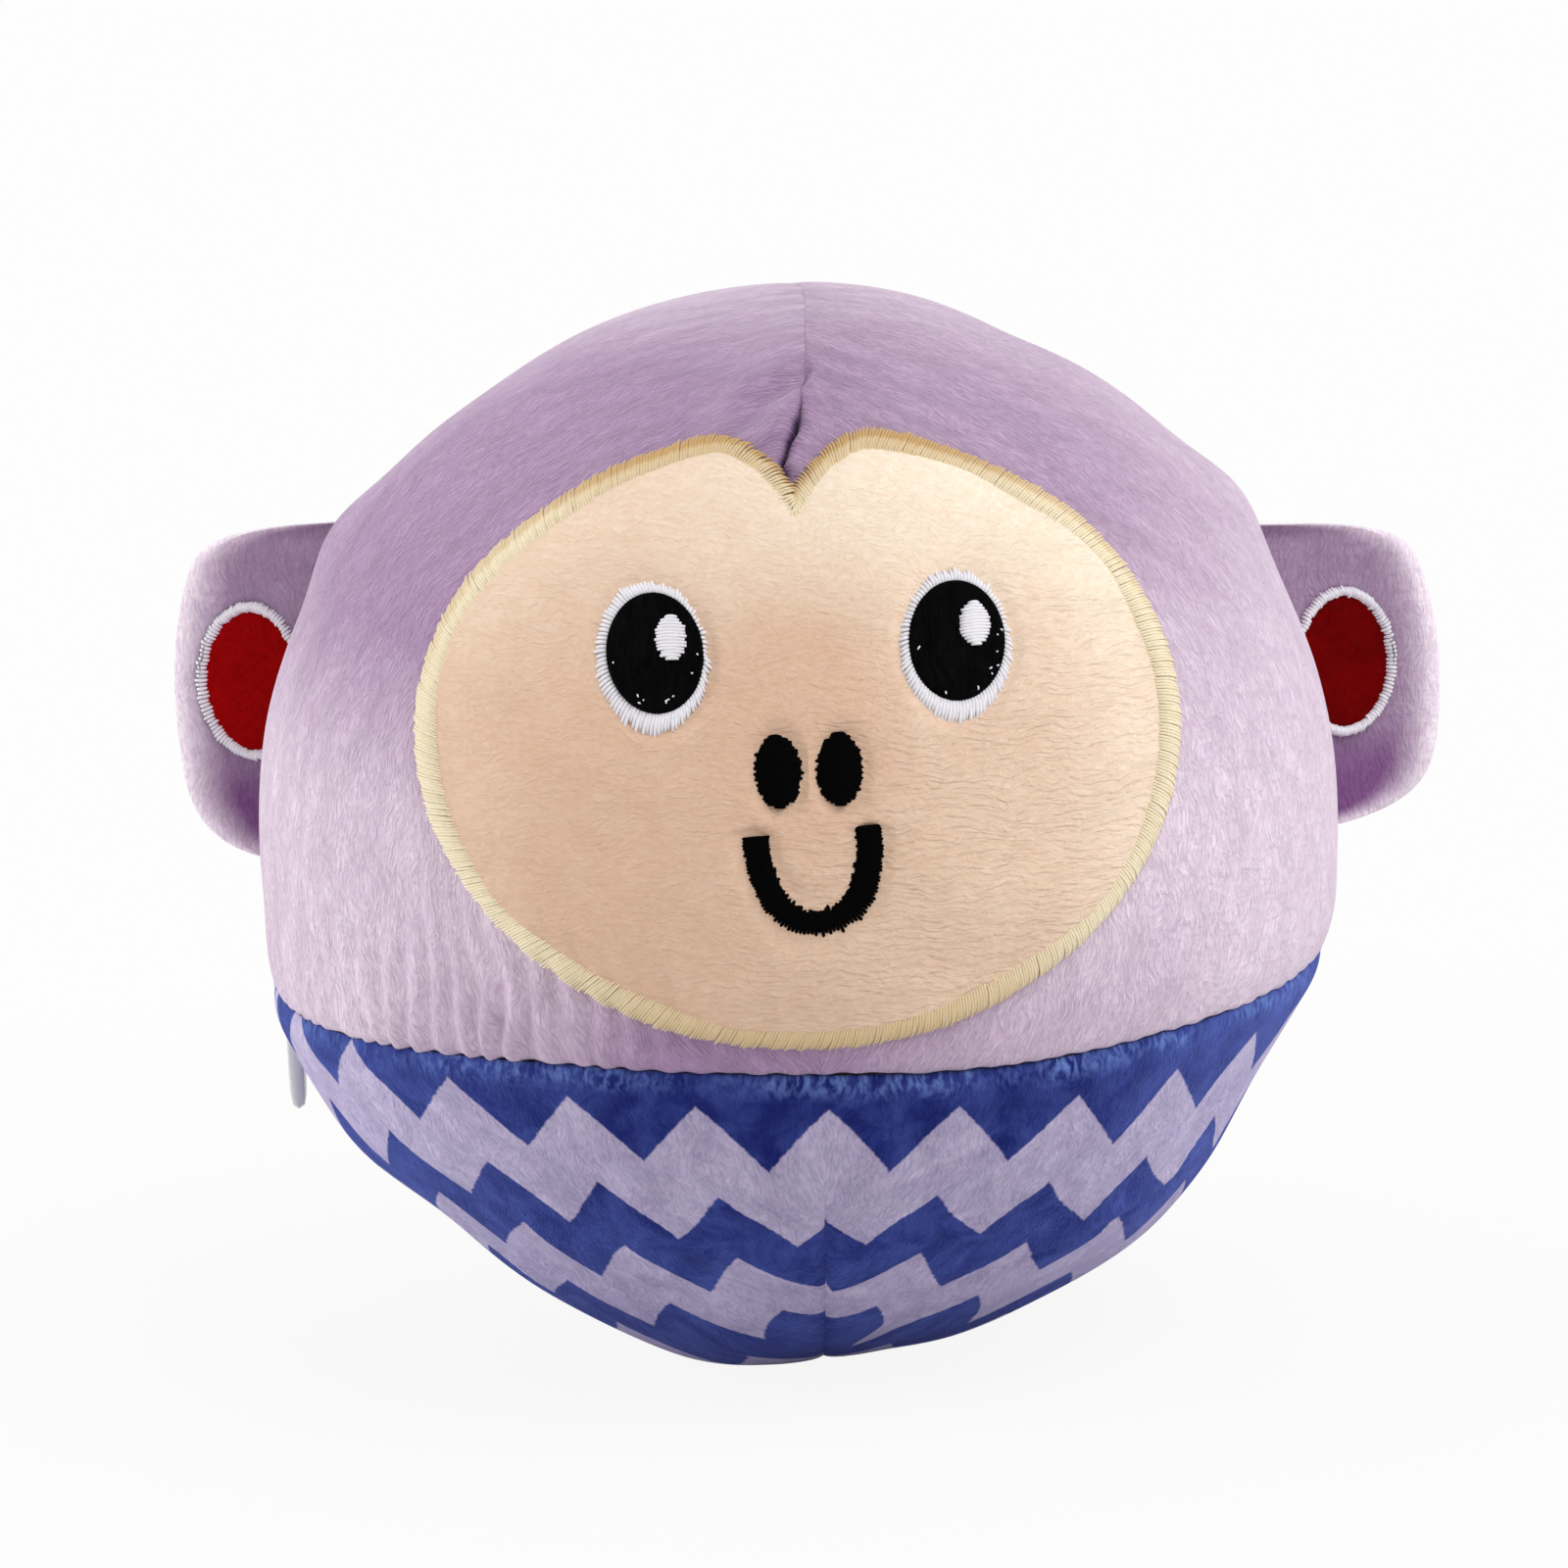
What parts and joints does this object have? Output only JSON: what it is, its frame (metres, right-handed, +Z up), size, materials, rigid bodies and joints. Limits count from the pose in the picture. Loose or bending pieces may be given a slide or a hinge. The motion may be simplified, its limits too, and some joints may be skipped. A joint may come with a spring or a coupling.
{
  "type": "musical plush ball",
  "caption": "Round plush ball with an animal face, side ears and a chevron base; a zip behind opens its cover over a padded sound core.",
  "frame": {"origin": "middle of the flat foot that the ball stands on", "axes": "+Z up, the face looks along -Y, +X to the right of someone facing the face"},
  "size_m": [0.15, 0.132, 0.1268],
  "materials": {
    "lavender_plush": "short pile plush",
    "face_fleece": "short nap fleece",
    "border_thread": "satin stitch",
    "white_thread": "satin stitch",
    "black_thread": "satin stitch",
    "ear_red": "flat cloth",
    "chevron_velour": "printed velour",
    "zip_fabric": "woven tape",
    "zip_teeth": "moulded",
    "zip_metal": "painted",
    "padding_fill": "soft wadding",
    "core_plastic": "moulded",
    "steel": "plated",
    "cell_jacket": "printed jacket",
    "board_green": "solder mask",
    "dark_plastic": "moulded",
    "cap_sleeve": "sleeve",
    "resistor_body": "lacquer",
    "gold_plate": "plated",
    "knob_red": "moulded",
    "basket_steel": "painted",
    "magnet_iron": "plated",
    "coil_copper": "wound wire",
    "lead_red": "sleeve",
    "lead_black": "sleeve",
    "lead_orange": "sleeve"
  },
  "bodies": {
    "cover": {"head_panel_left": "lavender_plush", "head_panel_right": "lavender_plush", "face_panel": "face_fleece", "face_border": "border_thread", "eye_white_left": "white_thread", "eye_white_right": "white_thread", "eye_glint_left": "white_thread", "eye_glint_right": "white_thread", "eye_pupil_left": "black_thread", "eye_pupil_right": "black_thread", "nostril_left": "black_thread", "nostril_right": "black_thread", "mouth_stitch": "black_thread", "lower_cover": "chevron_velour", "zip_tape_upper": "zip_fabric", "zip_tape_lower": "zip_fabric", "zip_teeth_upper": "zip_teeth", "zip_teeth_lower": "zip_teeth", "zip_end_stops": "zip_teeth", "padding_upper": "padding_fill", "padding_lower": "padding_fill", "core_upper_shell": "core_plastic", "core_lower_shell": "core_plastic", "battery_door": "core_plastic", "speaker_clamp": "core_plastic", "core_screws": "steel", "battery_door_screw": "steel", "board_screws": "steel", "power_switch_screws": "steel", "speaker_clamp_screws": "steel", "battery_springs": "steel", "battery_plates": "steel", "roll_sensor_can": "steel", "battery_cells": "cell_jacket", "circuit_board": "board_green", "sound_chip": "dark_plastic", "roll_sensor_cap": "dark_plastic", "power_switch_frame": "dark_plastic", "capacitor": "cap_sleeve", "resistors": "resistor_body", "speaker_basket": "basket_steel", "speaker_magnet": "magnet_iron", "speaker_lead_red": "lead_red", "speaker_lead_black": "lead_black", "switch_leads": "lead_orange"},
    "zip_slider": {"zip_slider": "zip_metal"},
    "zip_pull": {"zip_pull": "zip_metal", "zip_link": "zip_metal"},
    "switch_knob": {"power_switch_knob": "knob_red"},
    "roll_ball": {"roll_sensor_ball": "gold_plate"},
    "cone": {"speaker_cone": "dark_plastic", "voice_coil": "coil_copper"},
    "ear_left": {"ear_left": "lavender_plush", "ear_patch_left": "ear_red", "ear_border_left": "white_thread"},
    "ear_right": {"ear_right": "lavender_plush", "ear_patch_right": "ear_red", "ear_border_right": "white_thread"}
  },
  "joints": [
    {"name": "zip_travel", "type": "hinge", "parent": "cover", "child": "zip_slider", "pos_m": [0, 0, 0], "axis": [0, 0, -1], "range_deg": [0, 140]},
    {"name": "zip_pull_swing", "type": "hinge", "parent": "zip_slider", "child": "zip_pull", "pos_m": [-0.06248, 0.02274, 0.04496], "axis": [0.342, 0.9397, 0], "range_deg": [-8, 120]},
    {"name": "power_switch_slide", "type": "slide", "parent": "cover", "child": "switch_knob", "axis": [1, 0, 0], "range_m": [0, 0.004]},
    {"name": "roll_ball_slide", "type": "slide", "parent": "cover", "child": "roll_ball", "axis": [1, 0, 0], "range_m": [0, 0.0034]},
    {"name": "cone_travel", "type": "slide", "parent": "cover", "child": "cone", "axis": [0, 0, 1], "range_m": [-0.0006, 0.0006], "stiffness_N_per_m": 1500},
    {"name": "ear_left_bend", "type": "hinge", "parent": "cover", "child": "ear_left", "pos_m": [-0.0613, 0.01528, 0.07835], "axis": [0.2452, -0.0611, 0.9675], "range_deg": [-15, 15], "stiffness_Nm_per_rad": 0.02},
    {"name": "ear_right_bend", "type": "hinge", "parent": "cover", "child": "ear_right", "pos_m": [0.0613, 0.01528, 0.07835], "axis": [0.2452, 0.0611, -0.9675], "range_deg": [-15, 15], "stiffness_Nm_per_rad": 0.02}
  ]
}
